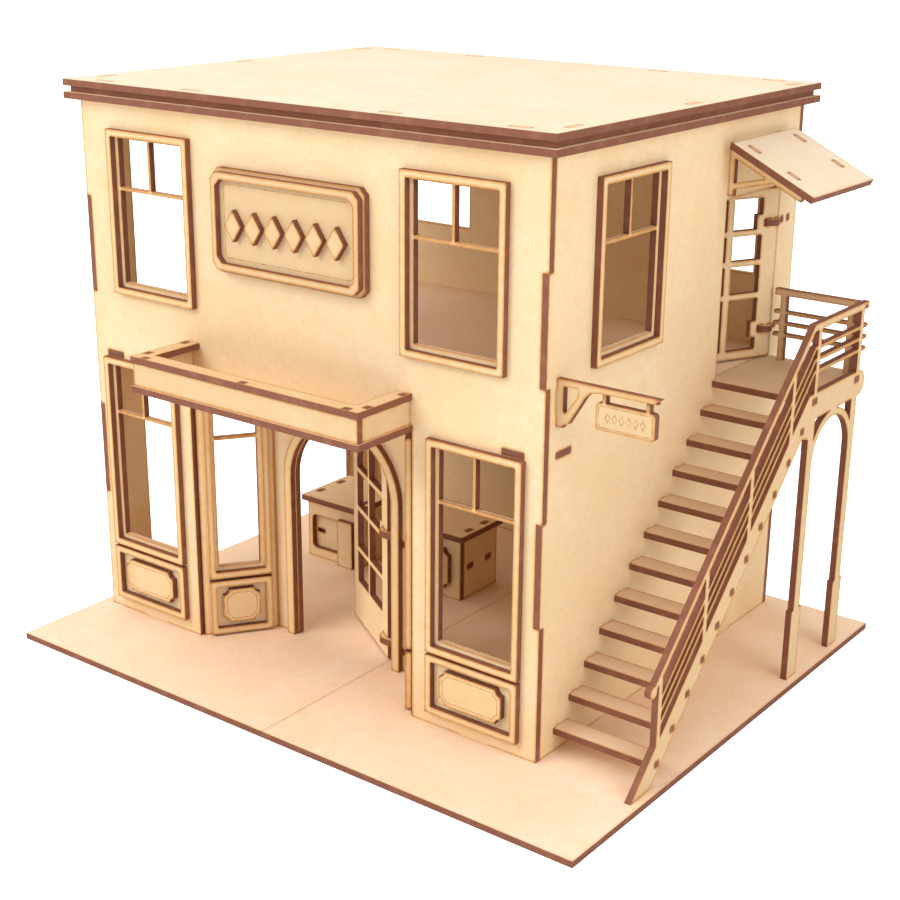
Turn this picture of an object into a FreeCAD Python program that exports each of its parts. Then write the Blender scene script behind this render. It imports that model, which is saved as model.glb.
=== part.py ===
import FreeCAD, Part
import math
import os

# A laser-cut wooden shop for table-top games: flat sheets joined by tabs, slots and corner fingers.
# While the model is being made x runs along the shop front, y runs back from it and z runs up
# from the top of the base. Each piece is moved at the end so that the origin is the middle
# of the underside of the base.

os.makedirs("parts", exist_ok=True)
V = FreeCAD.Vector

# ---- overall sizes, in millimetres ----
t = 3.0                    # thickness of every sheet
W = 268.0                  # length of the shop front
D = 214.0                  # depth of the building
H = 260.0                  # height of the walls, up to the roof
base_front = 52.3          # pavement in front of the building
base_right = 53.4          # pavement beside it, under the stairs
base_back = 7.7
base_left = 6.0
base_seam_x = 156.5        # the base is two sheets that meet here
floor_z = 136.0            # underside of the first floor
slot_play = 0.1            # a slot is this much longer than its tab at each end

# ---- corner fingers and roof ----
corner_steps = (0.0, 62.8, 109.6, 167.2, 214.2, H)   # heights where the corner fingers change
roof_overhang = 5.5
roof_middle_overhang = 3.0
roof_tab = 10.0
roof_tabs_front = (16.0, 73.0, 188.0, 252.0)
roof_tabs_side = (16.0, 109.0, D - 10.0)
floor_tab = 11.0
floor_tabs_front = (14.0, 252.7)
floor_tabs_side = (14.0, D - 14.0)
base_tab = 15.0
base_tabs_front = (33.0, 235.0)
base_tabs_back = (45.5, 221.5)
base_tabs_right = (60.0, 165.0)
strip_tab = 9.0            # the short tab under each strip of the left wall

# ---- front openings ----
shop_mid = 132.5           # middle of the recess, the doorway and the canopy
shopfront_half = 67.7      # half the width of the open middle of the ground floor
upper_frame_w = 53.3
upper_frame_from_edge = 45.7
upper_frame_z = (169.4, 247.7)
upper_bar_z = 219.9
side_window_y = 58.9
lower_frame_w = 49.5
lower_frame_x = (32.5, 234.4)
lower_frame_z = (36.8, 135.8)
lower_bar_z = 107.5
frame_band = 3.2           # width of the raised frame round an opening
frame_lip = 2.1            # wall left showing inside that frame
frame_lip_top = 1.0        # less of it shows along the top
bar = 1.5                  # glazing bars of the windows
bar_shift = -1.0           # from the middle of a front window to its upright bar
panel_z = (7.0, 35.5)
plaque_w = 33.5
plaque_z = (13.5, 30.0)
scoop = 3.0                # radius scooped out of the corners of a plaque

# ---- recess and arched doorway ----
recess_half = 66.0         # from the middle of the recess to where a slanted wall starts
recess_start_y = 1.5
recess_inset = 21.8
recess_y = 32.5            # front face of the arched wall
doorway_r = 30.6
arch_spring_z = 84.5
trim_inner_r = 31.3
trim_outer_r = 35.9
slant_frame = (3.0, 34.2)  # raised frame along the slanted wall
slant_window_z = (31.0, 131.0)
slant_bar_z = 103.0
slant_panel_z = (1.0, 29.5)
slant_plaque = (9.3, 27.9)
slant_plaque_z = (7.0, 24.5)

# ---- hinges shared by both doors ----
neck_r = 1.45              # round neck of a door, turning in a hinge plate
running_clearance = 0.05   # between the neck and the bore of the plate
plate_r = 4.4              # rounded end of each hinge plate
mouth_w = 2.2              # the bore is open on one side, so that the neck snaps in
part_gap = 0.35            # between pieces that move past each other
heel = 3.5                 # the leaf reaches this far past its hinge line
lug_w = 3.0                # extra width of the stile beside a hinge
lug_extra = 2.5            # height of the lug above and below the plate

# ---- front door ----
leaf_w = 54.6
leaf_foot = 0.8
leaf_open = 32.4           # how far it stands open
door_line_x = 153.55
door_line_y = 40.05
front_hinges = (8.5, 64.0)  # underside of each hinge plate
front_tab_x = (167.6, 172.0)
leaf_free_stile = 7.0
leaf_hinge_stile = 8.6
leaf_rails_top = (22.5, 41.5, 63.5, 84.0)
leaf_rail = 2.7
leaf_bar_from_free = 25.1
leaf_bar = 2.5             # glazing bars of the doors
leaf_arch_rim = 6.6

# ---- side door on the first floor ----
side_opening_y = (142.0, 195.0)
side_opening_top = 223.0
side_leaf_w = 51.4
side_leaf_z = (140.0, 222.3)
side_open = 26.5
side_line_x = 266.5
side_line_y = 190.5
side_hinges = (152.5, 204.5)
side_plate_x = 258.5       # the plate reaches this far into the room
side_plate_y = (192.5, 209.0)
side_tabs_y = (199.0, 205.5)
side_tab = 3.0
side_hinge_stile = 9.3
side_pane = 16.5
side_mullion = 3.7
side_rows = ((144.1, 169.6), (172.3, 185.7), (188.4, 200.3), (203.0, 218.0))

# ---- open left wall and back wall ----
left_strip_front = 26.0
left_strip_back = 28.0
left_ground_top = 130.0
left_upper_z = (150.0, 247.6)

# ---- canopy over the shop front ----
canopy_out = 35.5
canopy_board_inset = 0.8
canopy_board_h = 11.0
canopy_band = 8.0
canopy_tab = 3.6
canopy_front_tabs = (-60.0, 1.0, 60.0)
canopy_side_tabs = (-26.6, -3.6)

# ---- signs ----
sign_x = 133.2
sign_z = 214.0
sign_w = 88.5
sign_h = 47.0
sign_ring_w = 86.0
sign_ring_h = 44.0
sign_field_w = 80.5
sign_field_h = 37.7
sign_corner = 3.0
lozenge_w = 10.0
lozenge_h = 14.5
lozenge_z = 212.8
lozenge_pitch = 12.0
lozenges = 6
hang_y = 7.4
hang_out = 47.7
hang_z = (150.5, 170.7)
arm_z = 17.4               # underside of the arm above the foot of the sign
hang_board_x = (18.8, 45.8)
hang_board_z = (153.3, 164.5)
board_round = 1.5
hang_straps_x = (21.7, 41.5)
hang_strap_w = 1.6

# ---- stairs ----
rise = 139.0 / 12.0
going = 11.62
tread_first_y = 12.9
tread_depth = 11.0
treads = 11
tread_tab = 3.2
tread_tab_from_front = 3.5
stair_w = 46.7
landing_y = (138.7, 196.0)
landing_tab = 5.0
landing_tabs_out = (143.5, 188.5)

# ---- stair side panel ----
string_top = 3.8           # height of each sloping edge above the line z = y
string_bottom = -11.0
beam_z = (128.8, 141.3)
beam_end_y = 197.5
leg_w = 6.0
leg_front_y = 139.5
leg_back_y = 184.5
plinth_h = 35.5
plinth_extra = 1.8
stair_arch_z = 106.0
arch_rib = 3.5
gusset = 6.5
handrail_offsets = (32.5, 36.2)
handrail_z = (171.0, 174.2)
handrail_start_y = 11.0
knob_r = 2.8
thin_rail = 1.6
thin_offsets = (22.5, 16.6, 10.7)
thin_z = (162.8, 157.2, 151.6)
rail_end_y = 195.6
post_w = 3.2
post_ys = (16.5, 51.5, 86.7, 121.4, 143.7)
corner_post_y = (187.3, 190.8)
back_posts_x = ((6.8, 9.9), (41.4, 44.4))
back_rail_x = (3.6, 49.7)

# ---- awning ----
awning_y = (135.0, 197.5)
awning_slope = 26.05
awning_start = 3.5         # the sheet begins this far down the slope
awning_len = 45.3
awning_z = 248.85          # where the underside would meet the wall
bracket_ys = (142.0, 187.0)
bracket_leg = 2.8
bracket_bar = 4.9
bracket_foot_z = 225.0
bracket_reach = 42.0
brace_z = (227.5, 230.2)   # lower and upper edge of the brace where it leaves the wall
brace_rise = 5.5
brace_out = 23.0
awning_tab = 6.0
awning_tabs = (8.0, 30.0)

# ---- counters ----
left_counter_x = (36.5, 72.0)
left_counter_y = (112.0, 147.0)
left_counter_h = 33.0
right_counter_x = (92.0, 141.6)
right_counter_y = (113.6, 145.6)
right_counter_h = 34.0
counter_overhang = 2.5
shelf_z = 16.0
shelf_tab = 5.0
shelf_tabs = (122.1, 138.2)
counter_tab_inset = 9.0    # from the ends of an end panel to the middle of the tabs on its top
left_hole_x = (39.5, 59.0)
left_hole_z = (5.5, 25.0)
left_hole_round = 2.5
left_plate_x = (60.0, 70.5)
left_plate_h = 27.0
pull_x = (41.0, 46.1)
pull_z = (13.9, 16.2)

floor_top = floor_z + t
pieces = {}


# ---- helpers ----
def block(x0, x1, y0, y1, z0, z1):
    """A box between two corners."""
    return Part.makeBox(x1 - x0, y1 - y0, z1 - z0, V(x0, y0, z0))


def prism(points, direction, to_xyz):
    """The outline through the points, made solid along a direction."""
    corners = [to_xyz(p) for p in points]
    wire = Part.makePolygon(corners + [corners[0]])
    return Part.Face(wire).extrude(direction)


def sheet_xz(points, y0, y1):
    """An upright sheet seen from the front, outline given as (x, z)."""
    return prism(points, V(0, y1 - y0, 0), lambda p: V(p[0], y0, p[1]))


def sheet_yz(points, x0, x1):
    """An upright sheet seen from the side, outline given as (y, z)."""
    return prism(points, V(x1 - x0, 0, 0), lambda p: V(x0, p[0], p[1]))


def rod(r, x, y, z0, z1):
    """An upright cylinder."""
    return Part.makeCylinder(r, z1 - z0, V(x, y, z0), V(0, 0, 1))


def disc_y(r, x, z, y0, y1):
    """A cylinder lying along y."""
    return Part.makeCylinder(r, y1 - y0, V(x, y0, z), V(0, 1, 0))


def disc_x(r, y, z, x0, x1):
    """A cylinder lying along x."""
    return Part.makeCylinder(r, x1 - x0, V(x0, y, z), V(1, 0, 0))


def joined(shapes):
    """One solid from pieces that overlap or touch."""
    return shapes[0].fuse(shapes[1:]).removeSplitter()


def turned(shape, x, y, angle):
    """Turn a piece made at the origin about z, then carry it to (x, y)."""
    turn = FreeCAD.Rotation(V(0, 0, 1), angle)
    copy = shape.copy()
    copy.Placement = FreeCAD.Placement(V(x, y, 0), turn).multiply(copy.Placement)
    return copy


def mirrored(shape, x):
    """The same piece on the other side of the plane at x."""
    return shape.mirror(V(x, 0, 0), V(1, 0, 0))


def ring(u0, u1, y0, y1, z0, z1, band):
    """A rectangular frame."""
    hole = block(u0 + band, u1 - band, y0 - 1, y1 + 1, z0 + band, z1 - band)
    return block(u0, u1, y0, y1, z0, z1).cut(hole)


def scooped(u0, u1, y0, y1, z0, z1, r):
    """A plate with its four corners scooped out."""
    bites = [disc_y(r, u, z, y0 - 1, y1 + 1) for u in (u0, u1) for z in (z0, z1)]
    return block(u0, u1, y0, y1, z0, z1).cut(bites)


def rounded(u0, u1, y0, y1, z0, z1, r):
    """A plate with its four corners rounded."""
    plate = [block(u0 + r, u1 - r, y0, y1, z0, z1), block(u0, u1, y0, y1, z0 + r, z1 - r)]
    plate += [disc_y(r, u, z, y0, y1) for u in (u0 + r, u1 - r) for z in (z0 + r, z1 - r)]
    return joined(plate)


def chamfered(u0, u1, y0, y1, z0, z1, c):
    """A plate with its four corners cut off."""
    outline = [(u0 + c, z0), (u1 - c, z0), (u1, z0 + c), (u1, z1 - c),
               (u1 - c, z1), (u0 + c, z1), (u0, z1 - c), (u0, z0 + c)]
    return sheet_xz(outline, y0, y1)


def glazing(u0, u1, z0, z1, bar_z, upright, shift=0.0):
    """The panes of a window: one below the bar, and one or two above it."""
    low = block(u0, u1, -1, t + 1, z0, bar_z - bar / 2)
    if not upright:
        return [low, block(u0, u1, -1, t + 1, bar_z + bar / 2, z1)]
    mid = (u0 + u1) / 2 + shift
    left = block(u0, mid - bar / 2, -1, t + 1, bar_z + bar / 2, z1)
    right = block(mid + bar / 2, u1, -1, t + 1, bar_z + bar / 2, z1)
    return [low, left, right]


def window(u_mid, width, z_range, bar_z, upright=True, shift=0.0):
    """Panes to cut from a wall, and the raised frame that goes round them."""
    u0 = u_mid - width / 2
    u1 = u_mid + width / 2
    inner = frame_band + frame_lip
    top = frame_band + frame_lip_top
    panes = glazing(u0 + inner, u1 - inner, z_range[0] + inner, z_range[1] - top, bar_z, upright, shift)
    frame = ring(u0, u1, -t, 0, z_range[0], z_range[1], frame_band)
    return panes, frame


def arch(x, r, z, y0, y1):
    """A round-topped block standing on the base."""
    return joined([block(x - r, x + r, y0, y1, 0, z), disc_y(r, x, z, y0, y1)])


def tabs_x(centres, length, y0, y1, z0, z1, play=0.0):
    """A row of tabs along x, or the slots for them when play is given."""
    half = length / 2 + play
    return [block(c - half, c + half, y0, y1, z0, z1) for c in centres]


def tabs_y(centres, length, x0, x1, z0, z1, play=0.0):
    """A row of tabs along y, or the slots for them when play is given."""
    half = length / 2 + play
    return [block(x0, x1, c - half, c + half, z0, z1) for c in centres]


def corner(x, y, odd):
    """The finger sections of a corner post that belong to the odd or the even sheet."""
    first = 1 if odd else 0
    spans = list(zip(corner_steps[:-1], corner_steps[1:]))
    return [block(x, x + t, y, y + t, z0, z1) for z0, z1 in spans[first::2]]


def corners(odd):
    """Those sections at all four corners of the building."""
    found = []
    for x in (0, W - t):
        for y in (0, D - t):
            found += corner(x, y, odd)
    return found


def roof_tabs(play=0.0, z0=H, z1=H + 3 * t):
    """Wall tabs that come up through the three roof sheets: front and back, then left and right."""
    ends = []
    for y in (0, D - t):
        ends += tabs_x(roof_tabs_front, roof_tab, y, y + t, z0, z1, play)
    sides = []
    for x in (0, W - t):
        sides += tabs_y(roof_tabs_side, roof_tab, x, x + t, z0, z1, play)
    return ends, sides


def at_wall(shapes, low, high, axis):
    """Keep the shapes whose middle lies between low and high on x or y."""
    kept = []
    for s in shapes:
        c = s.BoundBox.Center
        value = c.x if axis == "x" else c.y
        if low < value < high:
            kept.append(s)
    return kept


# ---- base, floor and roof ----
left_strip_mid = left_strip_front / 2 + 1
back_strip_mid = D - left_strip_back / 2 - 1


def base_tabs(play=0.0):
    """Tabs under the four walls: front, back, right, left."""
    front = tabs_x(base_tabs_front, base_tab, 0, t, -t, 0, play)
    back = tabs_x(base_tabs_back, base_tab, D - t, D, -t, 0, play)
    right = tabs_y(base_tabs_right, base_tab, W - t, W, -t, 0, play)
    left = tabs_y((left_strip_mid, back_strip_mid), strip_tab, 0, t, -t, 0, play)
    return front, back, right, left


def floor_tabs(play=0.0):
    """Tabs of the first floor: front, back, right, left."""
    front = tabs_x(floor_tabs_front, floor_tab, 0, t, floor_z, floor_top, play)
    back = tabs_x(floor_tabs_front, floor_tab, D - t, D, floor_z, floor_top, play)
    right = tabs_y(floor_tabs_side[:1], floor_tab, W - t, W, floor_z, floor_top, play)
    left = tabs_y(floor_tabs_side, floor_tab, 0, t, floor_z, floor_top, play)
    return front, back, right, left


base_slots = [s for group in base_tabs(slot_play) for s in group]
base_y = (-base_front, D + base_back)
base_x = (-base_left, W + base_right)
pieces["base_left"] = block(base_x[0], base_seam_x, base_y[0], base_y[1], -t, 0).cut(base_slots)
pieces["base_right"] = block(base_seam_x, base_x[1], base_y[0], base_y[1], -t, 0).cut(base_slots)

canopy_x = (shop_mid - shopfront_half, shop_mid + shopfront_half)
floor_parts = [block(t, W - t, t, D - t, floor_z, floor_top)]
floor_parts += [s for group in floor_tabs() for s in group]
floor_parts.append(block(canopy_x[0], canopy_x[1], -canopy_out, t, floor_z, floor_top))
pieces["first_floor"] = joined(floor_parts)

roof_ends, roof_sides = roof_tabs(slot_play, H - 1, H + 3 * t + 1)
for i, (name, over) in enumerate((("roof_lower", roof_overhang),
                                  ("roof_middle", roof_middle_overhang),
                                  ("roof_top", roof_overhang))):
    sheet = block(-over, W + over, -over, D + over, H + i * t, H + (i + 1) * t)
    pieces[name] = sheet.cut(roof_ends + roof_sides)

# ---- the four outer walls ----
ends_up, sides_up = roof_tabs()
feet_front, feet_back, feet_right, feet_left = base_tabs()
slots_front, slots_back, slots_right, slots_left = floor_tabs(slot_play)
upper_xs = (upper_frame_from_edge, W - upper_frame_from_edge)

front_cuts = corners(True) + slots_front
front_cuts.append(block(canopy_x[0], canopy_x[1], -1, t + 1, -1, floor_top))
upper_frames = []
lower_frames = []
for x in upper_xs:
    panes, frame = window(x, upper_frame_w, upper_frame_z, upper_bar_z, shift=bar_shift)
    front_cuts += panes
    upper_frames.append(frame)
for x in lower_frame_x:
    panes, frame = window(x, lower_frame_w, lower_frame_z, lower_bar_z, shift=bar_shift)
    front_cuts += panes
    lower_frames.append(frame)
front = joined([block(0, W, 0, t, 0, H)] + at_wall(ends_up, -1, t, "y") + feet_front)
pieces["front_wall"] = front.cut(front_cuts)

back_cuts = corners(True) + slots_back
for x in upper_xs:
    half = upper_frame_w / 2
    back_cuts.append(block(x - half, x + half, D - t - 1, D + 1, upper_frame_z[0] + 5, upper_frame_z[1]))
back = joined([block(0, W, D - t, D, 0, H)] + at_wall(ends_up, D - t, D, "y") + feet_back)
pieces["back_wall"] = back.cut(back_cuts)

left_cuts = corners(False) + slots_left
left_cuts.append(block(-1, t + 1, left_strip_front, D - left_strip_back, -1, left_ground_top))
left_cuts.append(block(-1, t + 1, left_strip_front, D - left_strip_back, left_upper_z[0], left_upper_z[1]))
left = joined([block(0, t, 0, D, 0, H)] + at_wall(sides_up, -1, t, "x") + feet_left)
pieces["left_wall"] = left.cut(left_cuts)


# ---- stairs: treads, landing and their tabs ----
def tread_y(i):
    return tread_first_y + i * going


def tread_top(i):
    return (i + 1) * rise


stair_x = (W, W + stair_w)


def tread_tabs(i, x0, x1, play=0.0):
    c = tread_y(i) + tread_tab_from_front
    return tabs_y([c], tread_tab, x0, x1, tread_top(i) - t, tread_top(i), play)


steps = []
for i in range(treads):
    step = block(stair_x[0], stair_x[1], tread_y(i), tread_y(i) + tread_depth, tread_top(i) - t, tread_top(i))
    steps.append(joined([step] + tread_tabs(i, W - t, W) + tread_tabs(i, stair_x[1], stair_x[1] + t)))
pieces["stair_treads"] = Part.makeCompound(steps)


def landing_tabs(play=0.0):
    inner = [block(W - t, W, side_opening_y[0] + slot_play, side_opening_y[1] - slot_play, floor_z, floor_top)]
    outer = tabs_y(landing_tabs_out, landing_tab, stair_x[1], stair_x[1] + t, floor_z, floor_top, play)
    return inner, outer


rail_y = (corner_post_y[1], corner_post_y[1] + t)
back_posts = [(W + x0, W + x1) for x0, x1 in back_posts_x]
tabs_in, tabs_out = landing_tabs()
landing = joined([block(stair_x[0], stair_x[1], landing_y[0], landing_y[1], floor_z, floor_top)]
                 + tabs_in + tabs_out)
pieces["landing"] = landing.cut([block(x0 - slot_play, x1 + slot_play, rail_y[0], rail_y[1],
                                       floor_z - 1, floor_top + 1) for x0, x1 in back_posts])

# ---- hinges ----
def hinge_plate(shapes, x, y, z, mouth_angle):
    """A fixed plate round the hinge line, with its bore and the mouth that lets the neck in."""
    mouth = block(0, 2 * plate_r, -mouth_w / 2, mouth_w / 2, z - 1, z + t + 1)
    bore = rod(neck_r + running_clearance, x, y, z - 1, z + t + 1)
    plate = joined(shapes + [rod(plate_r, x, y, z, z + t)])
    return plate.cut([bore, turned(mouth, x, y, mouth_angle)])


def fit_hinge(leaf, stile_edge, z):
    """Widen the stile, clear the leaf round the plate and leave a neck on the hinge line."""
    lug = block(stile_edge - 1, stile_edge + lug_w, -t / 2, t / 2, z - lug_extra, z + t + lug_extra)
    room = block(-heel - 1, plate_r + part_gap, -t, t, z - part_gap, z + t + part_gap)
    neck = rod(neck_r, 0, 0, z - part_gap, z + t + part_gap)
    return leaf.fuse(lug).cut(room).fuse(neck).removeSplitter()


# ---- right wall ----
right_cuts = corners(False) + slots_right
right_cuts += [s for i in range(treads) for s in tread_tabs(i, W - t - 1, W + 1, slot_play)]
right_cuts.append(block(W - t - 1, W + 1, side_opening_y[0], side_opening_y[1], floor_z, side_opening_top))
for z in side_hinges:
    right_cuts += tabs_y(side_tabs_y, side_tab, W - t - 1, W + 1, z, z + t, slot_play)
panes, frame = window(side_window_y, upper_frame_w, upper_frame_z, upper_bar_z)
right_cuts += [turned(p, W, 0, 90) for p in panes]
hang_tab_z = (hang_z[0] + 5.0, hang_z[1] - 5.0)
right_cuts.append(block(W - t - 1, W + 1, hang_y, hang_y + t, hang_tab_z[0] - slot_play, hang_tab_z[1] + slot_play))
right = joined([block(W - t, W, 0, D, 0, H)] + at_wall(sides_up, W - t, W, "x") + feet_right)
pieces["right_wall"] = right.cut(right_cuts)
pieces["upper_window_frames"] = Part.makeCompound(upper_frames)
pieces["lower_window_frames"] = Part.makeCompound(lower_frames)
pieces["side_window_frame"] = turned(frame, W, 0, 90)

# ---- panels under the front windows ----
panels = []
plaques = []
for x in lower_frame_x:
    half = lower_frame_w / 2
    panels.append(ring(x - half, x + half, -t, 0, panel_z[0], panel_z[1], frame_band))
    plaques.append(scooped(x - plaque_w / 2, x + plaque_w / 2, -t, 0, plaque_z[0], plaque_z[1], scoop))
pieces["lower_panel_frames"] = Part.makeCompound(panels)
pieces["lower_plaques"] = Part.makeCompound(plaques)

# ---- slanted walls of the recess ----
recess_run = recess_y - recess_start_y
slant_angle = math.degrees(math.atan2(recess_run, recess_inset))
slant_len = math.hypot(recess_run, recess_inset)
slant_mid = (slant_frame[0] + slant_frame[1]) / 2
slant_panes, slant_ring = window(slant_mid, slant_frame[1] - slant_frame[0],
                                 slant_window_z, slant_bar_z, upright=False)
slant_wall = block(0, slant_len + 2 * t, 0, t, 0, floor_z).cut(slant_panes)
slant_panel = ring(slant_frame[0], slant_frame[1], -t, 0, slant_panel_z[0], slant_panel_z[1], frame_band)
slant_badge = scooped(slant_plaque[0], slant_plaque[1], -t, 0, slant_plaque_z[0], slant_plaque_z[1], scoop)


def beside_recess(shape):
    """Carry a piece to the left slanted wall."""
    return turned(shape, shop_mid - recess_half, recess_start_y, slant_angle)


slant_wall = beside_recess(slant_wall)
slant_wall = slant_wall.cut([block(0, W, recess_y, recess_y + 5 * t, -1, H),
                             block(0, canopy_x[0], -1, t, -1, H)])
pieces["angled_wall_left"] = slant_wall
pieces["angled_wall_right"] = mirrored(slant_wall, shop_mid)
for name, shape in (("angled_window_frames", slant_ring),
                    ("angled_panel_frames", slant_panel),
                    ("angled_plaques", slant_badge)):
    one = beside_recess(shape)
    pieces[name] = Part.makeCompound([one, mirrored(one, shop_mid)])

# ---- arched wall and its trim ----
slant_end = t / math.sin(math.radians(slant_angle))
arch_wall_half = recess_half - recess_inset + slant_end
arch_wall = block(shop_mid - arch_wall_half, shop_mid + arch_wall_half, recess_y, recess_y + t, 0, floor_z)
arch_cuts = [arch(shop_mid, doorway_r, arch_spring_z, recess_y - 1, recess_y + t + 1)]
for z in front_hinges:
    arch_cuts.append(block(front_tab_x[0] - slot_play, front_tab_x[1] + slot_play,
                           recess_y - 1, recess_y + t + 1, z, z + t))
pieces["arch_wall"] = arch_wall.cut(arch_cuts)
trim = arch(shop_mid, trim_outer_r, arch_spring_z, recess_y - t, recess_y)
trim_hole = arch(shop_mid, trim_inner_r, arch_spring_z, recess_y - t - 1, recess_y + 1)
trim_hole = trim_hole.fuse(block(shop_mid - trim_inner_r, shop_mid + trim_inner_r,
                                 recess_y - t - 1, recess_y + 1, -1, 1))
pieces["arch_trim"] = trim.cut(trim_hole)

# ---- front door, made with its hinge line at the origin ----
leaf_end = leaf_w - heel
leaf_mid = leaf_w / 2 - heel
leaf_r = leaf_w / 2
stile_edge = leaf_hinge_stile - heel
leaf = joined([block(-heel, leaf_end, -t / 2, t / 2, leaf_foot, arch_spring_z),
               disc_y(leaf_r, leaf_mid, arch_spring_z, -t / 2, t / 2)])
bar_u = leaf_end - leaf_bar_from_free
columns = ((stile_edge, bar_u - leaf_bar / 2), (bar_u + leaf_bar / 2, leaf_end - leaf_free_stile))
arch_pane = disc_y(leaf_r - leaf_arch_rim, leaf_mid, arch_spring_z, -t, t)
leaf_panes = []
for u0, u1 in columns:
    for z0, z1 in zip(leaf_rails_top[:-1], leaf_rails_top[1:]):
        leaf_panes.append(block(u0, u1, -t, t, z0, z1 - leaf_rail))
    top_pane = block(u0, u1, -t, t, leaf_rails_top[-1], arch_spring_z + leaf_r)
    round_end = joined([arch_pane, block(u0, u1, -t, t, leaf_rails_top[-1] - 1, arch_spring_z)])
    leaf_panes.append(top_pane.common(round_end))
leaf = leaf.cut(leaf_panes)
front_plates = []
for z in front_hinges:
    leaf = fit_hinge(leaf, stile_edge, z)
    arm = block(door_line_x, front_tab_x[1], recess_y + t, door_line_y + plate_r, z, z + t)
    tab = block(front_tab_x[0], front_tab_x[1], recess_y, recess_y + t, z, z + t)
    front_plates.append(hinge_plate([arm, tab], door_line_x, door_line_y, z, 90))
pieces["front_door_leaf"] = turned(leaf, door_line_x, door_line_y, 180.0 - leaf_open)
pieces["front_door_plates"] = Part.makeCompound(front_plates)

# ---- side door, made the same way ----
side_edge = side_hinge_stile - heel
side_leaf = block(-heel, side_leaf_w - heel, -t / 2, t / 2, side_leaf_z[0], side_leaf_z[1])
side_panes = []
for u0 in (side_edge, side_edge + side_pane + side_mullion):
    for z0, z1 in side_rows:
        side_panes.append(block(u0, u0 + side_pane, -t, t, z0, z1))
side_leaf = side_leaf.cut(side_panes)
side_plates = []
for z in side_hinges:
    side_leaf = fit_hinge(side_leaf, side_edge, z)
    body = block(side_plate_x, W - t, side_plate_y[0], side_plate_y[1], z, z + t)
    link = block(side_line_x - plate_r, W - t, side_line_y, side_plate_y[0] + 1, z, z + t)
    stub = block(W - t, W, side_line_y, side_opening_y[1], z, z + t)
    tabs = tabs_y(side_tabs_y, side_tab, W - t, W, z, z + t)
    side_plates.append(hinge_plate([body, link, stub] + tabs, side_line_x, side_line_y, z, 180))
pieces["side_door_leaf"] = turned(side_leaf, side_line_x, side_line_y, 270.0 - side_open)
pieces["side_door_plates"] = Part.makeCompound(side_plates)

# ---- canopy ----
board_x = (canopy_x[0] + canopy_board_inset, canopy_x[1] - canopy_board_inset)
board_y = -canopy_out + canopy_board_inset
board_top = floor_top + canopy_board_h


def canopy_tabs(play=0.0):
    """Tabs on the front board and on the two side boards."""
    front_row = tabs_x([shop_mid + c for c in canopy_front_tabs], canopy_tab,
                       board_y, board_y + t, board_top, board_top + t, play)
    left_row = tabs_y(canopy_side_tabs, canopy_tab, board_x[0], board_x[0] + t, board_top, board_top + t, play)
    right_row = tabs_y(canopy_side_tabs, canopy_tab, board_x[1] - t, board_x[1], board_top, board_top + t, play)
    return front_row, left_row, right_row


front_row, left_row, right_row = canopy_tabs()
pieces["canopy_front_board"] = joined(
    [block(board_x[0], board_x[1], board_y, board_y + t, floor_top, board_top)] + front_row)
pieces["canopy_side_boards"] = Part.makeCompound([
    joined([block(board_x[0], board_x[0] + t, board_y + t, 0, floor_top, board_top)] + left_row),
    joined([block(board_x[1] - t, board_x[1], board_y + t, 0, floor_top, board_top)] + right_row)])
cap = block(canopy_x[0], canopy_x[1], -canopy_out, 0, board_top, board_top + t)
cap_cuts = [block(canopy_x[0] + canopy_band, canopy_x[1] - canopy_band,
                  -canopy_out + canopy_band, 1, board_top - 1, board_top + t + 1)]
cap_cuts += [s for row in canopy_tabs(slot_play) for s in row]
pieces["canopy_cap"] = cap.cut(cap_cuts)

# ---- wall sign: plate, ring and a row of raised lozenges ----
pieces["sign_back_plate"] = chamfered(sign_x - sign_w / 2, sign_x + sign_w / 2, -t, 0,
                                      sign_z - sign_h / 2, sign_z + sign_h / 2, sign_corner)
marks = []
for i in range(lozenges):
    x = sign_x + (i - (lozenges - 1) / 2) * lozenge_pitch
    diamond = [(x - lozenge_w / 2, lozenge_z), (x, lozenge_z - lozenge_h / 2),
               (x + lozenge_w / 2, lozenge_z), (x, lozenge_z + lozenge_h / 2)]
    marks.append(sheet_xz(diamond, -2 * t, -t))
pieces["sign_ornament"] = Part.makeCompound(marks)
outer = chamfered(sign_x - sign_ring_w / 2, sign_x + sign_ring_w / 2, -2 * t, -t,
                  sign_z - sign_ring_h / 2, sign_z + sign_ring_h / 2, sign_corner)
field = chamfered(sign_x - sign_field_w / 2, sign_x + sign_field_w / 2, -2 * t - 1, -t + 1,
                  sign_z - sign_field_h / 2, sign_z + sign_field_h / 2, sign_corner)
pieces["sign_ring"] = outer.cut(field)

# ---- hanging sign at the corner ----
def from_wall(points):
    """Outline points given as (distance out from the wall, height above the foot of the sign)."""
    return [(W + x, hang_z[0] + z) for x, z in points]


hang_h = hang_z[1] - hang_z[0]
arm = sheet_xz(from_wall(((0, arm_z), (hang_out - 1.5, arm_z + 0.5), (hang_out - 1.9, arm_z + 1.3),
                          (hang_out, hang_h - 0.2), (hang_out - 1.7, hang_h), (0, hang_h))), hang_y, hang_y + t)
leg = block(W, W + 3.4, hang_y, hang_y + t, hang_z[0], hang_z[1])
tongue = block(W - t, W, hang_y, hang_y + t, hang_tab_z[0], hang_tab_z[1])
scroll = sheet_xz(from_wall(((0, 0), (0.3, 0), (6.0, 2.0), (13.6, 14.5), (16.0, 16.9), (22.0, arm_z + 0.4),
                             (10.4, arm_z + 0.4), (10.4, 16.5), (9.7, 13.7), (4.5, 6.3), (3.2, 6.9),
                             (0, 6.9))), hang_y, hang_y + t)
board = rounded(W + hang_board_x[0], W + hang_board_x[1], hang_y, hang_y + t,
                hang_board_z[0], hang_board_z[1], board_round)
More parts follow.
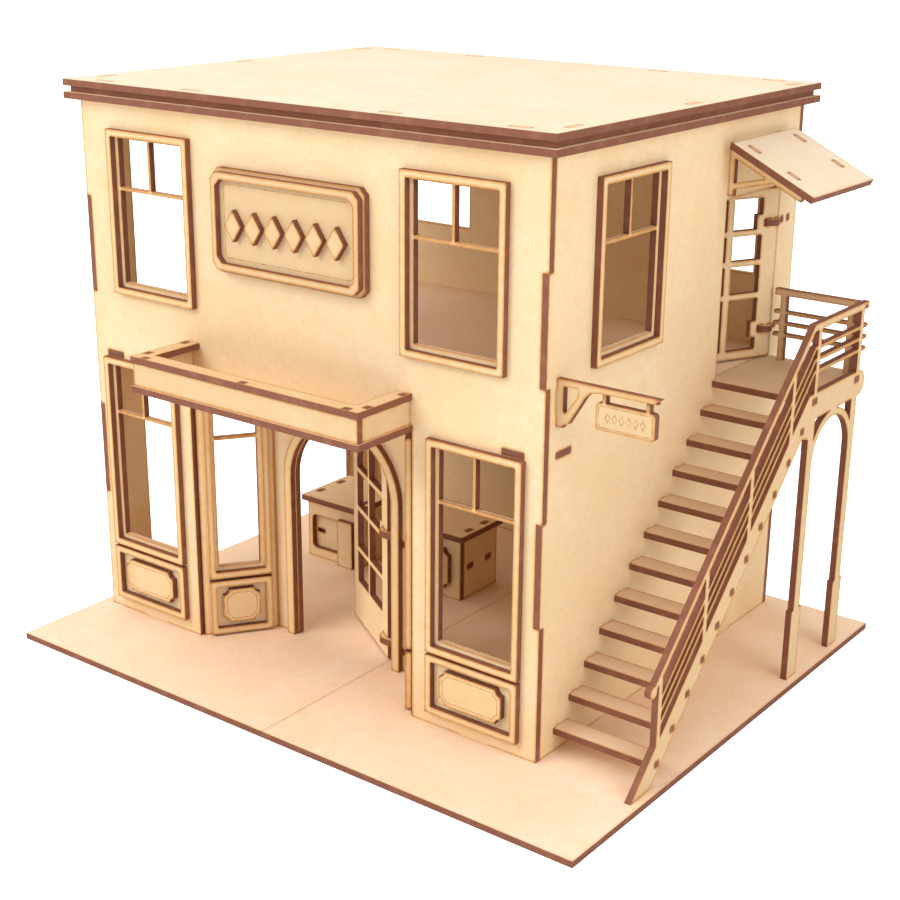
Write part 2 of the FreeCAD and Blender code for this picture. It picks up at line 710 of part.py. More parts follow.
straps = [block(W + x, W + x + hang_strap_w, hang_y, hang_y + t,
                hang_board_z[1] - 1, hang_z[0] + arm_z + 0.2) for x in hang_straps_x]
pieces["hanging_sign"] = joined([leg, tongue, arm, scroll, board] + straps)

# ---- stair side panel ----
px = (stair_x[1], stair_x[1] + t)
leg_mid = (leg_front_y + leg_w + leg_back_y) / 2
stair_arch_r = (leg_back_y - leg_front_y - leg_w) / 2


def leg(y):
    shaft = block(px[0], px[1], y, y + leg_w, 0, beam_z[0])
    plinth = block(px[0], px[1], y - plinth_extra, y + leg_w + plinth_extra, 0, plinth_h)
    return [shaft, plinth]


def sloped_rail(low, high, z0, z1, start):
    """A rail that climbs with the stairs, then runs level along the landing."""
    return sheet_yz([(start, start + low), (z0 - low, z0), (rail_end_y, z0),
                     (rail_end_y, z1), (z1 - high, z1), (start, start + high)], px[0], px[1])


rib_disc = disc_x(stair_arch_r + arch_rib, leg_mid, stair_arch_z, px[0], px[1])
rib_hole = disc_x(stair_arch_r, leg_mid, stair_arch_z, px[0] - 1, px[1] + 1)
rib_box = block(px[0], px[1], leg_front_y + leg_w - 1, leg_back_y + 1, stair_arch_z, beam_z[0] + 1)
rib = rib_disc.cut(rib_hole).common(rib_box)
beam_half = (beam_z[1] - beam_z[0]) / 2
foot_y = -string_top
string_end = leg_front_y + 1
panel = [sheet_yz([(foot_y, 0), (-string_bottom, 0), (string_end, string_end + string_bottom),
                   (string_end, beam_z[1]), (beam_z[1] - string_top, beam_z[1])], px[0], px[1]),
         block(px[0], px[1], leg_front_y, beam_end_y - beam_half, beam_z[0], beam_z[1]),
         disc_x(beam_half, beam_end_y - beam_half, beam_z[0] + beam_half, px[0], px[1]),
         sheet_yz([(leg_front_y - gusset, leg_front_y - gusset + string_bottom),
                   (leg_front_y + 1, leg_front_y - gusset + string_bottom - 2),
                   (leg_front_y + 1, leg_front_y + 1 + string_bottom)], px[0], px[1]),
         rib]
panel += leg(leg_front_y) + leg(leg_back_y)
panel.append(sloped_rail(*handrail_offsets, *handrail_z, handrail_start_y))
panel.append(disc_x(knob_r, handrail_start_y, handrail_start_y + sum(handrail_offsets) / 2, px[0], px[1]))
half_slope = thin_rail / 2 * math.sqrt(2)
for offset, z in zip(thin_offsets, thin_z):
    panel.append(sloped_rail(offset - half_slope, offset + half_slope,
                             z - thin_rail / 2, z + thin_rail / 2, post_ys[0]))
for y in post_ys:
    top = min(y + handrail_offsets[0] + 1, handrail_z[0] + 1)
    foot = min(y, beam_z[1] - string_top) - 1
    panel.append(block(px[0], px[1], y - post_w / 2, y + post_w / 2, foot, top))
panel.append(block(px[0], px[1], corner_post_y[0], corner_post_y[1], beam_z[1] - 1, handrail_z[0] + 1))
side_panel = joined(panel)

rail_levels = [(z - thin_rail / 2, z + thin_rail / 2) for z in thin_z] + [handrail_z]
panel_cuts = [s for i in range(treads) for s in tread_tabs(i, px[0] - 1, px[1] + 1, slot_play)]
panel_cuts += landing_tabs(slot_play)[1]
back_rails = [block(x0, x1, rail_y[0], rail_y[1], floor_z, handrail_z[1]) for x0, x1 in back_posts]
lap_cuts = []
for z0, z1 in rail_levels:
    half = (z0 + z1) / 2
    panel_cuts.append(block(px[0] - 1, px[1] + 1, rail_y[0], rail_y[1], z0 - 1, half))
    back_rails.append(block(W + back_rail_x[0], W + back_rail_x[1], rail_y[0], rail_y[1], z0, z1))
    lap_cuts.append(block(px[0], px[1], rail_y[0] - 1, rail_y[1] + 1, half, z1 + 1))
pieces["stair_side_panel"] = side_panel.cut(panel_cuts)
pieces["landing_back_rail"] = joined(back_rails).cut(lap_cuts)

# ---- awning over the side door ----
run = math.cos(math.radians(awning_slope))
fall = math.sin(math.radians(awning_slope))


def on_slope(s, h):
    """A point s down the slope and h above the underside of the awning, as (x, z)."""
    return (W + s * run + h * fall, awning_z - s * fall + h * run)


def slope_bar(s0, s1, h0, h1, y0, y1):
    return sheet_xz([on_slope(s0, h0), on_slope(s1, h0), on_slope(s1, h1), on_slope(s0, h1)], y0, y1)


cover = slope_bar(awning_start, awning_start + awning_len, 0, t, awning_y[0], awning_y[1])
brackets = []
for y in bracket_ys:
    brace = sheet_xz([(W, brace_z[0]), (W + brace_out, brace_z[0] + brace_rise),
                      (W + brace_out, brace_z[1] + brace_rise), (W, brace_z[1])], y, y + t)
    bracket = joined([block(W, W + bracket_leg, y, y + t, bracket_foot_z, awning_z), brace,
                      slope_bar(-bracket_bar, bracket_reach, -bracket_bar, 0, y, y + t)])
    bars = [bracket.cut([slope_bar(-bracket_bar, awning_len, 0, 3 * t, y - 1, y + t + 1),
                         block(W - 4 * t, W, y - 1, y + t + 1, 0, H)])]
    for s in awning_tabs:
        bars.append(slope_bar(s, s + awning_tab, 0, t, y, y + t))
        cover = cover.cut(slope_bar(s - slot_play, s + awning_tab + slot_play, -1, t + 1, y, y + t))
    brackets.append(joined(bars))
pieces["awning_plate"] = cover
pieces["awning_brackets"] = Part.makeCompound(brackets)


# ---- counters ----
def counter(name, xr, yr, height, shelf):
    """A hollow counter: a front, two ends, an overhanging top and perhaps a shelf."""
    front_sheet = block(xr[0], xr[1], yr[0], yr[0] + t, 0, height)
    end_left = block(xr[0], xr[0] + t, yr[0] + t, yr[1], 0, height)
    end_right = block(xr[1] - t, xr[1], yr[0] + t, yr[1], 0, height)
    if shelf:
        slots = tabs_y(shelf_tabs, shelf_tab, xr[0] - 1, xr[1] + 1, shelf_z, shelf_z + t, slot_play)
        end_left = end_left.cut(slots)
        end_right = end_right.cut(slots)
        tongues = tabs_y(shelf_tabs, shelf_tab, xr[0], xr[1], shelf_z, shelf_z + t)
        pieces[name + "_shelf"] = joined(
            [block(xr[0] + t, xr[1] - t, yr[0] + t, yr[1] - t, shelf_z, shelf_z + t)] + tongues)
    pieces[name + "_front"] = front_sheet
    over = counter_overhang
    top = block(xr[0] - over, xr[1] + over, yr[0] - over, yr[1] + over, height, height + t)
    rows = (yr[0] + counter_tab_inset, yr[1] - counter_tab_inset)
    ends = []
    for end, x in ((end_left, xr[0]), (end_right, xr[1] - t)):
        ends.append(joined([end] + tabs_y(rows, shelf_tab, x, x + t, height, height + t)))
        top = top.cut(tabs_y(rows, shelf_tab, x, x + t, height - 1, height + t + 1, slot_play))
    pieces[name + "_ends"] = Part.makeCompound(ends)
    pieces[name + "_top"] = top


counter("left_counter", left_counter_x, left_counter_y, left_counter_h, False)
counter("right_counter", right_counter_x, right_counter_y, right_counter_h, True)
front_y = left_counter_y[0]
pieces["left_counter_front"] = pieces["left_counter_front"].cut(
    rounded(left_hole_x[0], left_hole_x[1], front_y - 1, front_y + t + 1,
            left_hole_z[0], left_hole_z[1], left_hole_round))
panel_behind = block(left_counter_x[0] + t, left_counter_x[1] - t, front_y + t, front_y + 2 * t,
                     0, left_counter_h)
pieces["left_counter_panel"] = panel_behind.cut(
    block(pull_x[0], pull_x[1], front_y, front_y + 3 * t, pull_z[0], pull_z[1]))
pieces["left_counter_plate"] = block(left_plate_x[0], left_plate_x[1], front_y - t, front_y, 0, left_plate_h)
pieces["right_counter_plaque"] = scooped(
    right_counter_x[0] + 2 * t, right_counter_x[1] - 2 * t, right_counter_y[0] - t, right_counter_y[0],
    2 * t, right_counter_h - 2 * t, scoop)

# ---- move the origin to the middle of the underside of the base, and write every piece ----
home = V(-sum(base_x) / 2, -sum(base_y) / 2, t)
for name, shape in pieces.items():
    placed = shape.copy()
    placed.translate(home)
    placed.exportStep("parts/" + name + ".step")
print(len(pieces), "pieces written")
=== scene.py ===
# %% [markdown]
# # A laser-cut wooden shop for table-top games
# The building is a kit of flat fibreboard sheets, 3 mm thick, pushed together with tabs and slots.
# Its shape comes from CAD and is loaded as a fixed frame. What is left for Blender is the look:
# pale board faces, dark burnt cut edges, a golden scorch beside every cut, and the fine lines
# that the laser engraves. Everything is in metres.

# %% Load the frame
import bmesh
import bpy
import math
import numpy as np
from mathutils import Matrix, Vector


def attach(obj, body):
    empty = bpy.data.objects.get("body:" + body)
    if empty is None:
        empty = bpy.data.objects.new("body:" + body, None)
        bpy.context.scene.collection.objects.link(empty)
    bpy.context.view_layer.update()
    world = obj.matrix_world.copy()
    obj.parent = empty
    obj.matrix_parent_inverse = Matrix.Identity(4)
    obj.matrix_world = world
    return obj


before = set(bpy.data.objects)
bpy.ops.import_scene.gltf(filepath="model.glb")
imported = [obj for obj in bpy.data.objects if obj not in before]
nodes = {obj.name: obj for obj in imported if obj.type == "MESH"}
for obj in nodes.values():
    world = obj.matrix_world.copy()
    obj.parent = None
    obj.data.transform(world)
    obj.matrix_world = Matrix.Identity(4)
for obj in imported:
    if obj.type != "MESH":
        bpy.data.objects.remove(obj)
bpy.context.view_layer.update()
MM = 0.001

# %% [markdown]
# ## Which way does each sheet face?
# A sheet has two broad faces and a thin cut edge all round. The laser burns only the edge, so the
# finish must know which is which. The faces are the largest flat areas of a piece, so adding up
# the area that looks in each direction finds them. A frame-and-rail piece can have more edge than
# face, so that one is listed. Two mirrored sheets in one node give two directions.

# %% Find the broad faces
BY_HAND = {"landing_back_rail": [(0.0, 1.0, 0.0)]}
TWIN_SHARE = 0.9           # a second direction counts when its area is this share of the first


def face_directions(obj):
    """Directions of a sheet's broad faces: unit normals with opposite ones counted as one,
    grouped, and the areas of each group added; the largest sum wins."""
    mesh = obj.data
    count = len(mesh.polygons)
    normals = np.zeros(count * 3)
    areas = np.zeros(count)
    mesh.polygons.foreach_get("normal", normals)
    mesh.polygons.foreach_get("area", areas)
    normals = normals.reshape(-1, 3)
    biggest = np.abs(normals).argmax(1)
    normals = normals * np.sign(normals[np.arange(count), biggest])[:, None]
    keys, group = np.unique(normals.round(2), axis=0, return_inverse=True)
    sums = np.bincount(group.ravel(), weights=areas)
    order = sums.argsort()[::-1]
    exact = [normals[group.ravel() == k].mean(0) for k in order[:2]]
    found = [exact[0] / np.linalg.norm(exact[0])]
    if len(order) > 1 and sums[order[1]] > TWIN_SHARE * sums[order[0]]:
        found.append(exact[1] / np.linalg.norm(exact[1]))
    return [tuple(round(float(x), 4) for x in d) for d in found]


directions = {}
for name, obj in nodes.items():
    directions[name] = BY_HAND.get(name) or face_directions(obj)
print("slanted pieces:", {n: d for n, d in directions.items() if max(abs(x) for x in d[0]) < 0.999})

# %% [markdown]
# ## Shader helpers
# A material is a small network of nodes. These helpers add one node each, so that the recipes
# below read like a list of steps.

# %% Node helpers
def add(tree, kind, inputs=(), **settings):
    """Add a node, set its properties, and feed its inputs from values or from other sockets."""
    node = tree.nodes.new(kind)
    for key, value in settings.items():
        setattr(node, key, value)
    for key, value in dict(inputs).items():
        if isinstance(value, bpy.types.NodeSocket):
            tree.links.new(value, node.inputs[key])
        else:
            node.inputs[key].default_value = value
    return node


def maths(tree, operation, a, b=0.0):
    """One sum: a operation b."""
    return add(tree, "ShaderNodeMath", {0: a, 1: b}, operation=operation).outputs[0]


def blend(tree, share, a, b, mode="MIX"):
    """Colour a turned towards colour b by a share from 0 to 1."""
    node = add(tree, "ShaderNodeMix", {0: share, 6: a, 7: b}, data_type="RGBA", blend_type=mode)
    return node.outputs[2]


def ramp(tree, value, low, high, out_low=0.0, out_high=1.0):
    """A value between low and high carried to the range between out_low and out_high, clamped."""
    node = add(tree, "ShaderNodeMapRange",
               {"Value": value, "From Min": low, "From Max": high,
                "To Min": out_low, "To Max": out_high})
    return node.outputs["Result"]


def noise(tree, place, scale, detail, rough=0.5):
    """Cloudy noise between 0 and 1 that changes about once in every 1/scale metres."""
    node = add(tree, "ShaderNodeTexNoise",
               {"Vector": place, "Scale": scale, "Detail": detail, "Roughness": rough})
    return node.outputs["Fac"]


# %% [markdown]
# ## Fibreboard
# The board is pressed wood dust: cream, with a fine speckle of darker fibres and broad faint
# clouds. The cut edge is charred brown, streaked through the thickness of the sheet where the
# beam went down. Beside a cut, the heat turns the face gold over a millimetre or two, and the
# last sliver is brown. That distance to the nearest cut is what an
# ambient-occlusion node gives when it looks inwards: far from a cut its rays meet nothing, near a
# cut they meet the edge. It needs no map and follows every slot and curve. On some sheets a cut
# edge that faces straight up is painted pale, a painted highlight for the light from above.

# %% Fibreboard recipe
EDGE = (0.228, 0.084, 0.048, 1)        # charred cut edge
EDGE_DARK = (0.165, 0.056, 0.032, 1)
EDGE_PALE = (0.420, 0.190, 0.100, 1)   # where the soot was blown away
TOP_EDGE_HIGHLIGHT = (0.760, 0.470, 0.250, 1)     # painted highlight: cut edges facing straight up, paler as if lit from above
GOLD = (0.74, 0.40, 0.105, 1)          # scorched face beside a cut
BURN = (0.40, 0.170, 0.055, 1)         # the last sliver before the cut
FIBRE = (0.60, 0.38, 0.19, 1)          # darker fibres in the face
REACH = 1.6 * MM                       # how far the scorch is felt
CLOUDS, BLOTCHES, FIBRES = 30.0, 170.0, 750.0   # how fine each pattern is, in spots per metre
WAVER = 0.26                           # how unevenly the scorch runs along a cut
SCORCH = {"wall": 0.85, "trim": 0.95, "aged": 0.90, "roof": 0.55, "base": 0.35, "tread": 0.75}
BOARD = {
    "wall": (0.860, 0.665, 0.420, 1),
    "trim": (0.790, 0.590, 0.345, 1),
    "aged": (0.710, 0.515, 0.300, 1),
    "roof": (0.800, 0.680, 0.535, 1),
    "base": (0.895, 0.680, 0.510, 1),
    "tread": (0.720, 0.520, 0.350, 1),
}


def fibreboard(name, faces, colour, scorch, paints_top_highlight):
    """A point is on a face when its normal is within about 25 degrees of a face direction.
    Faces take board colour, then gold and brown near a cut; all other points are charred edge.
    When the flag is set, an edge point that looks straight up is painted pale: a painted highlight
    for light from above."""
    mat = bpy.data.materials.new(name)
    mat.use_nodes = True
    tree = mat.node_tree
    shader = tree.nodes["Principled BSDF"]
    where = add(tree, "ShaderNodeTexCoord")
    place = where.outputs["Object"]
    on_face = 0.0
    for d in faces:
        dot = add(tree, "ShaderNodeVectorMath", {0: where.outputs["Normal"], 1: d},
                  operation="DOT_PRODUCT")
        near = maths(tree, "ABSOLUTE", dot.outputs["Value"])
        on_face = near if on_face == 0.0 else maths(tree, "MAXIMUM", on_face, near)
    on_face = ramp(tree, on_face, 0.88, 0.92)

    clouds = ramp(tree, noise(tree, place, CLOUDS, 3.0), 0.30, 0.70)
    blotch = ramp(tree, noise(tree, place, BLOTCHES, 5.0, 0.65), 0.38, 0.72)
    fibres = ramp(tree, noise(tree, place, FIBRES, 4.0, 0.75), 0.52, 0.76)
    tint = tuple(c * k for c, k in zip(colour[:3], (0.95, 0.86, 0.72))) + (1,)
    face = blend(tree, maths(tree, "MULTIPLY", clouds, 0.65), colour, tint)
    face = blend(tree, maths(tree, "MULTIPLY", blotch, 0.70), face, tint)
    face = blend(tree, maths(tree, "MULTIPLY", fibres, 0.45), face, FIBRE)

    inward = add(tree, "ShaderNodeAmbientOcclusion", {"Distance": REACH},
                 samples=12, inside=True, only_local=True).outputs["AO"]
    uneven = maths(tree, "SUBTRACT", noise(tree, place, 260.0, 3.0), 0.5)
    waver = maths(tree, "MULTIPLY", uneven, WAVER)
    inward = maths(tree, "ADD", inward, waver)
    gold = ramp(tree, inward, 0.92, 0.55, 0.0, scorch)
    burn = ramp(tree, inward, 0.60, 0.50, 0.0, scorch)
    face = blend(tree, gold, face, blend(tree, 1.0, face, GOLD, "MULTIPLY"))
    face = blend(tree, maths(tree, "MULTIPLY", gold, 0.35), face, GOLD)
    face = blend(tree, burn, face, BURN)

    along = add(tree, "ShaderNodeVectorMath", {0: place, 1: faces[0]}, operation="DOT_PRODUCT")
    drop = add(tree, "ShaderNodeVectorMath", {0: faces[0], "Scale": along.outputs["Value"]},
               operation="SCALE")
    flat = add(tree, "ShaderNodeVectorMath", {0: place, 1: drop.outputs["Vector"]},
               operation="SUBTRACT").outputs["Vector"]
    streaks = noise(tree, flat, 900.0, 3.0, 0.6)
    soot = noise(tree, place, 140.0, 3.0)
    edge = blend(tree, ramp(tree, streaks, 0.35, 0.70, 0.0, 0.18), EDGE, EDGE_DARK)
    edge = blend(tree, ramp(tree, soot, 0.50, 0.80, 0.0, 0.4), edge, EDGE_PALE)
    # Painted highlight: a cut edge that faces straight up, away from the broad faces, is painted
    # paler, as if lit from above.
    if paints_top_highlight:
        height = add(tree, "ShaderNodeVectorMath", {0: where.outputs["Normal"], 1: (0, 0, 1)},
                     operation="DOT_PRODUCT").outputs["Value"]
        top_highlight_mask = maths(tree, "MULTIPLY", ramp(tree, height, 0.85, 0.93),
                     ramp(tree, inward, 0.50, 0.62))
        edge = blend(tree, top_highlight_mask, edge, TOP_EDGE_HIGHLIGHT)

    tree.links.new(blend(tree, on_face, edge, face), shader.inputs["Base Color"])
    grain = blend(tree, on_face, streaks, noise(tree, place, 2200.0, 2.0))
    bump = add(tree, "ShaderNodeBump", {"Height": grain, "Strength": 0.25, "Distance": 0.05 * MM})
    tree.links.new(bump.outputs["Normal"], shader.inputs["Normal"])
    shader.inputs["Roughness"].default_value = 0.72
    shader.inputs["Specular IOR Level"].default_value = 0.25
    return mat


# %% [markdown]
# ## Dress every sheet
# The roof and the base are a little paler and pinker than the walls, because they carry less
# smoke. Canopy, signs and stair side are from a browner board. Sheets of one tone that face the
# same way share one material.

# %% Give each node its board
# Sheets whose cut edges that face straight up get a painted highlight, paler as if lit from above.
TOP_LIT_SHEETS = ("awning_brackets", "front_wall", "back_wall", "left_wall", "right_wall",
          "angled_wall_left", "angled_wall_right", "arch_wall")
made = {}
for name, obj in nodes.items():
    tone = "wall"
    if name.startswith(("roof", "awning_plate")):
        tone = "roof"
    elif name.startswith("base") or name == "first_floor":
        tone = "base"
    elif name.startswith(("stair_treads", "landing")):
        tone = "tread"
    elif name.startswith(("canopy", "sign", "stair_side", "hanging")):
        tone = "aged"
    elif any(word in name for word in ("frame", "plaque", "trim", "door_plates")):
        tone = "trim"
    paints_top_highlight = name in TOP_LIT_SHEETS
    key = (tone, paints_top_highlight, tuple(directions[name]))
    if key not in made:
        made[key] = fibreboard(f"{tone}_board_{len(made)}", directions[name], BOARD[tone],
                               SCORCH[tone], paints_top_highlight)
    obj.data.materials.clear()
    obj.data.materials.append(made[key])
print("boards:", len(made))

# %% [markdown]
# ## Engraved lines
# The laser also draws: at low power it leaves a thin brown line. The plaques, the wall sign and
# the hanging board each have one that follows their outline a little way in. A line is a very
# flat ribbon. Its path is worked out twice, for its outer and its inner side, at the same steps,
# and a low box section joins the two, so it is a closed piece of its own.

# %% Paths
def scooped_path(half_w, half_h, r, inset, steps=9):
    """Loop inside a plate whose corners are scooped: straight sides at the inset from the edge,
    and at each corner an arc about the plate's own corner with radius r plus the inset. The arc
    starts where that circle meets the straight sides, at the arcsine of inset over radius."""
    radius = r + inset
    start = math.asin(inset / radius)
    a = np.linspace(start, math.pi / 2 - start, steps)
    x = half_w - radius * np.cos(a)
    z = half_h - radius * np.sin(a)
    quarters = [np.stack([x, z], 1), np.stack([x, -z], 1)[::-1],
                np.stack([-x, -z], 1), np.stack([-x, z], 1)[::-1]]
    return np.concatenate(quarters)


def chamfered_path(half_w, half_h, cut, inset):
    """Loop inside a plate with cut corners: sides and cuts all at the inset from the edge, which
    shortens each cut by (2 minus root 2) times the inset."""
    c = cut - (2 - math.sqrt(2)) * inset
    w, h = half_w - inset, half_h - inset
    return np.array([(w - c, h), (w, h - c), (w, c - h), (w - c, -h),
                     (c - w, -h), (-w, c - h), (-w, h - c), (c - w, h)])


def diamond_path(half_w, half_h, inset):
    """Loop inside a diamond, shrunk so that its sides are at the inset."""
    k = 1 - inset * math.hypot(half_w, half_h) / (half_w * half_h)
    return k * np.array([(half_w, 0.0), (0.0, -half_h), (-half_w, 0.0), (0.0, half_h)])


# %% Ribbons
LINE_W = 0.42              # width of an engraved line, in millimetres
LINE_H = 0.03              # how far it stands proud, in millimetres


def ribbon(outer, inner, origin, right, up, out):
    """Closed band between two loops: four rows of points, outer low, outer high, inner high,
    inner low. Each point is origin + right times x + up times z + out times its height."""
    rows = []
    for loop, height in ((outer, 0), (outer, LINE_H), (inner, LINE_H), (inner, 0)):
        rows.append(origin + loop[:, :1] * right + loop[:, 1:] * up + height * out)
    points = np.stack(rows)
    count = len(outer)
    i = np.arange(count)
    j = (i + 1) % count
    quads = []
    for k in range(4):
        m = (k + 1) % 4
        quads.append(np.stack([k * count + i, k * count + j, m * count + j, m * count + i], 1))
    return points.reshape(-1, 3), np.concatenate(quads)


def make_piece(name, parts, material, body="building"):
    """Join (points in millimetres, faces) pairs into one mesh, turn its faces outwards and let it
    ride on a body of the frame."""
    start = 0
    points, faces = [], []
    for p, f in parts:
        points.append(p)
        faces.append(f + start)
        start += len(p)
    mesh = bpy.data.meshes.new(name)
    mesh.from_pydata((np.concatenate(points) * MM).tolist(), [], np.concatenate(faces).tolist())
    work = bmesh.new()
    work.from_mesh(mesh)
    bmesh.ops.recalc_face_normals(work, faces=work.faces)
    work.to_mesh(mesh)
    work.free()
    mesh.materials.append(material)
    obj = bpy.data.objects.new(name, mesh)
    bpy.context.scene.collection.objects.link(obj)
    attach(obj, body)
    print(name, len(mesh.polygons), "faces")
    return obj


def points_of(name, side=0):
    """Points of a CAD node in millimetres. A side of -1 or 1 keeps those to the left or the
    right of the middle of its box."""
    co = np.array([v.co for v in nodes[name].data.vertices]) / MM
    middle = (co[:, 0].min() + co[:, 0].max()) / 2
    return co if side == 0 else co[(co[:, 0] - middle) * side > 0]


def plate_of(name, side=0):
    """Box of those points, as its low and its high corner."""
    co = points_of(name, side)
    return co.min(0), co.max(0)


# %% [markdown]
# The burnt line is brown where the beam was slow and paler where it hurried, so its colour
# follows a fine noise.

# %% Burnt line finish
LINE_SLOW = (0.40, 0.21, 0.075, 1)
LINE_FAST = (0.68, 0.44, 0.20, 1)
line_mat = bpy.data.materials.new("burnt_line")
line_mat.use_nodes = True
tree = line_mat.node_tree
shader = tree.nodes["Principled BSDF"]
place = add(tree, "ShaderNodeTexCoord").outputs["Object"]
speed = ramp(tree, noise(tree, place, 420.0, 3.0), 0.35, 0.70)
tree.links.new(blend(tree, speed, LINE_SLOW, LINE_FAST), shader.inputs["Base Color"])
shader.inputs["Roughness"].default_value = 0.8

# %% Lines on the plaques under the front windows
X, Y, Z = np.eye(3)
PLAQUE_SCOOP = 3.0
PLAQUE_INSET = 1.7


def scooped_line(low, high, front, r, inset, out=-Y):
    """A line that follows a scooped plate, on the plane where the plate's front lies."""
    half_w, half_h = (high[0] - low[0]) / 2, (high[2] - low[2]) / 2
    origin = np.array([(low[0] + high[0]) / 2, front, (low[2] + high[2]) / 2])
    return ribbon(scooped_path(half_w, half_h, r, inset),
                  scooped_path(half_w, half_h, r, inset + LINE_W), origin, X, Z, out)


lines = []
for side in (-1, 1):
    low, high = plate_of("lower_plaques", side)
    lines.append(scooped_line(low, high, low[1], PLAQUE_SCOOP, PLAQUE_INSET))
low, high = plate_of("right_counter_plaque")
lines.append(scooped_line(low, high, low[1], PLAQUE_SCOOP, PLAQUE_INSET))
make_piece("plaque_lines", lines, line_mat)

# %% [markdown]
# The two slanted walls carry the same plaque, so their lines are laid in the slanted plane: the
# sheet's own direction gives "outwards", and a quarter turn of it gives "along the wall".

# %% Lines on the slanted plaques
slanted = []
for side in (-1, 1):
    co = points_of("angled_plaques", side)
    out = next(np.array(d) for d in directions["angled_plaques"] if d[0] * d[1] * side > 0)
    out = -np.sign(out[1]) * out / np.linalg.norm(out)
    right = np.cross(Z, out)
    along, depth = co @ right, co @ out
    half_w, half_h = np.ptp(along) / 2, np.ptp(co[:, 2]) / 2
    origin = (right * (along.max() + along.min()) / 2 + out * depth.max()
              + Z * (co[:, 2].max() + co[:, 2].min()) / 2)
    slanted.append(ribbon(scooped_path(half_w, half_h, PLAQUE_SCOOP, PLAQUE_INSET),
                          scooped_path(half_w, half_h, PLAQUE_SCOOP, PLAQUE_INSET + LINE_W),
                          origin, right, Z, out))
make_piece("slanted_plaque_lines", slanted, line_mat)

# %% [markdown]
# The wall sign has a thin line inside its raised ring. The hanging board has a line on both
# sides, with a row of small diamonds as a plain ornament.

# %% Lines on the signs
low, high = plate_of("sign_back_plate")
ring_low, ring_high = plate_of("sign_ring")
SIGN_INSET = 5.2           # from the edge of the ring to the line
SIGN_CORNER = 4.6          # cut off each corner of the ring
centre = np.array([(ring_low[0] + ring_high[0]) / 2, low[1], (ring_low[2] + ring_high[2]) / 2])
half = (ring_high - ring_low) / 2
sign_line = ribbon(chamfered_path(half[0], half[2], SIGN_CORNER, SIGN_INSET),
                   chamfered_path(half[0], half[2], SIGN_CORNER, SIGN_INSET + LINE_W),
                   centre, X, Z, -Y)
make_piece("sign_line", [sign_line], line_mat)

low, high = plate_of("hanging_sign")
BOARD_X = (129.1, 156.1)   # the hanging board within the whole sign
BOARD_Z = (156.3, 167.5)
BOARD_SCOOP = 1.2
BOARD_INSET = 1.0
DIAMOND = (1.35, 2.3)      # half the width and half the height of a diamond
DIAMOND_MARGIN = 5.5       # from the end of the board to the middle of the first diamond
board_low = np.array([BOARD_X[0], low[1], BOARD_Z[0]])
board_high = np.array([BOARD_X[1], high[1], BOARD_Z[1]])
hanging = []
for y, out in ((low[1], -Y), (high[1], Y)):
    hanging.append(scooped_line(board_low, board_high, y, BOARD_SCOOP, BOARD_INSET, out))
    for x in np.linspace(BOARD_X[0] + DIAMOND_MARGIN, BOARD_X[1] - DIAMOND_MARGIN, 6):
        spot = np.array([x, y, sum(BOARD_Z) / 2])
        hanging.append(ribbon(diamond_path(*DIAMOND, 0), diamond_path(*DIAMOND, LINE_W),
                              spot, X, Z, out))
make_piece("hanging_board_lines", hanging, line_mat)

# %% [markdown]
# ## Floor, light and camera
# A pale sweep of floor, a white surround and four large soft lamps give the even, nearly
# shadowless look of a product table. The lamp at the front left is the strongest, so that the
# raised frames keep a soft shadow on their right. The surround lights from above more than from
# the sides, so that the rooms grow darker towards their ceilings.

# %% Floor
SWEEP = 6.0                # half the width of the floor
GRID = 9                   # points along each side of it
floor_mesh = bpy.data.meshes.new("floor")
steps = np.linspace(-1, 1, GRID) * SWEEP
gx, gy = np.meshgrid(steps, steps)
floor_points = np.stack([gx.ravel(), gy.ravel(), np.full(gx.size, -0.0002)], 1)
index = np.arange(GRID * GRID).reshape(GRID, GRID)
floor_quads = np.stack([index[:-1, :-1], index[:-1, 1:], index[1:, 1:], index[1:, :-1]], -1)
floor_mesh.from_pydata(floor_points.tolist(), [], floor_quads.reshape(-1, 4).tolist())
floor = bpy.data.objects.new("floor", floor_mesh)
bpy.context.scene.collection.objects.link(floor)
FLOOR_DULL = (0.93, 0.93, 0.93, 1)
FLOOR_BRIGHT = (0.96, 0.96, 0.96, 1)
FLOOR_GLOW = 0.65          # keeps the far floor as white as the near floor
floor_mat = bpy.data.materials.new("pale_floor")
floor_mat.use_nodes = True
tree = floor_mat.node_tree
place = add(tree, "ShaderNodeTexCoord").outputs["Object"]
shader = tree.nodes["Principled BSDF"]
tree.links.new(blend(tree, noise(tree, place, 3.0, 2.0), FLOOR_DULL, FLOOR_BRIGHT),
               shader.inputs["Base Color"])
shader.inputs["Roughness"].default_value = 0.9
shader.inputs["Emission Color"].default_value = (1, 1, 1, 1)
seen = add(tree, "ShaderNodeLightPath").outputs["Is Camera Ray"]
tree.links.new(maths(tree, "MULTIPLY", seen, FLOOR_GLOW), shader.inputs["Emission Strength"])
floor.data.materials.append(floor_mat)

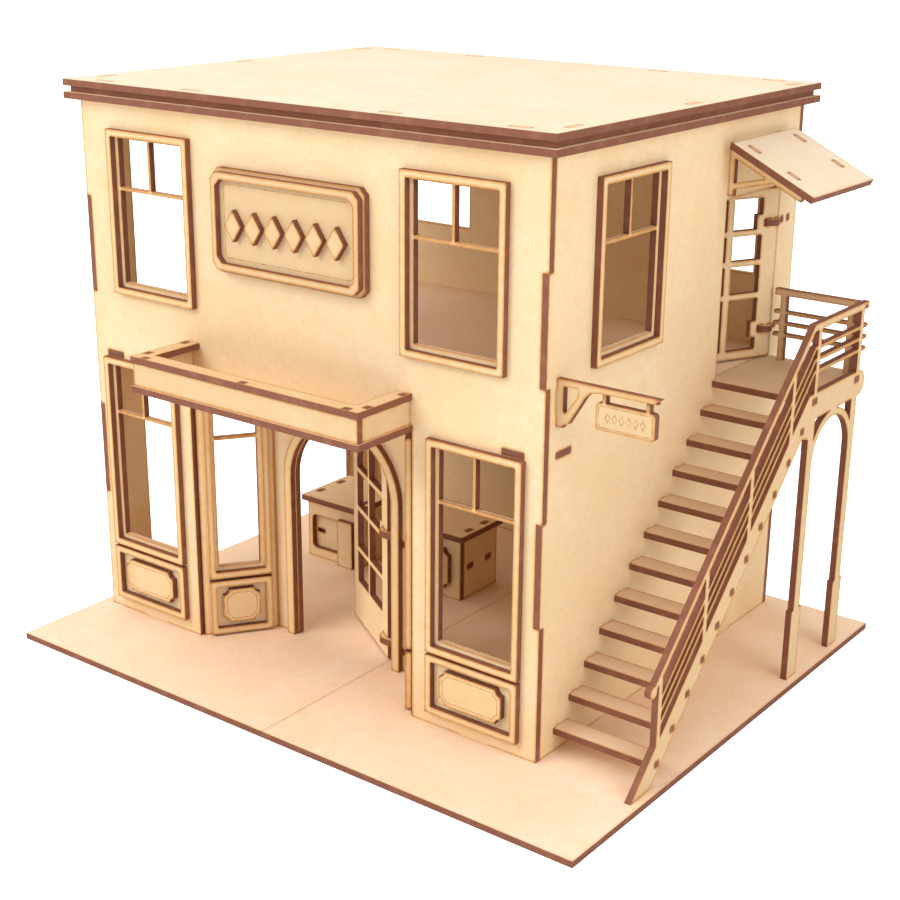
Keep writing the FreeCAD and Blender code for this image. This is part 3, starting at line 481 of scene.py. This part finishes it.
# %% Lights
HORIZON, ZENITH = 0.20, 0.85       # strength of the surround, level and overhead
world = bpy.data.worlds.new("surround")
bpy.context.scene.world = world
world.use_nodes = True
tree = world.node_tree
tree.nodes["Background"].inputs["Color"].default_value = (1, 1, 1, 1)
seen = add(tree, "ShaderNodeLightPath").outputs["Is Camera Ray"]
aim = add(tree, "ShaderNodeTexCoord").outputs["Generated"]
height = add(tree, "ShaderNodeSeparateXYZ", {"Vector": aim}).outputs["Z"]
sky = ramp(tree, height, 0.0, 0.8, HORIZON, ZENITH)
tree.links.new(maths(tree, "MAXIMUM", sky, seen), tree.nodes["Background"].inputs["Strength"])
bpy.context.scene.view_settings.view_transform = "Standard"


def soft_lamp(name, place, target, size, power, colour=(1, 1, 1)):
    """A square lamp at a place, turned to face a target."""
    lamp = bpy.data.lights.new(name, "AREA")
    lamp.shape = "SQUARE"
    lamp.size = size
    lamp.energy = power
    lamp.color = colour
    obj = bpy.data.objects.new(name, lamp)
    bpy.context.scene.collection.objects.link(obj)
    obj.location = place
    aim = Vector(target) - Vector(place)
    obj.rotation_euler = aim.to_track_quat("-Z", "Y").to_euler()
    return obj


MIDDLE = (0.0, 0.0, 0.13)
soft_lamp("key_lamp", (-0.7, -1.5, 1.3), MIDDLE, 1.2, 24.0)
soft_lamp("right_lamp", (1.7, -0.3, 0.9), MIDDLE, 1.2, 13.0)
soft_lamp("top_lamp", (0.1, 0.2, 2.0), MIDDLE, 1.6, 9.0)
soft_lamp("left_lamp", (-1.6, 0.1, 0.7), MIDDLE, 1.2, 9.0)

# %% Camera
AZIMUTH = math.radians(37.264)   # the camera stands this far round to the right of the front
ELEVATION = math.radians(19.14)
ROLL = math.radians(0.479)
STANDS_AT = (0.44969, -0.59315, 0.35690)
LENS = 64.53

back = Vector((math.sin(AZIMUTH) * math.cos(ELEVATION),
               -math.cos(AZIMUTH) * math.cos(ELEVATION), math.sin(ELEVATION)))
right = (-back).cross(Vector((0, 0, 1))).normalized()
up = right.cross(-back)
tilted_right = math.cos(ROLL) * right + math.sin(ROLL) * up
tilted_up = -math.sin(ROLL) * right + math.cos(ROLL) * up
turn = Matrix((tilted_right, tilted_up, back)).transposed().to_4x4()
camera_data = bpy.data.cameras.new("camera")
camera_data.lens = LENS
camera_data.sensor_width = 36.0
camera_data.clip_start = 0.01
camera = bpy.data.objects.new("camera", camera_data)
bpy.context.scene.collection.objects.link(camera)
camera.matrix_world = Matrix.Translation(STANDS_AT) @ turn
bpy.context.scene.camera = camera
print("camera at", STANDS_AT)
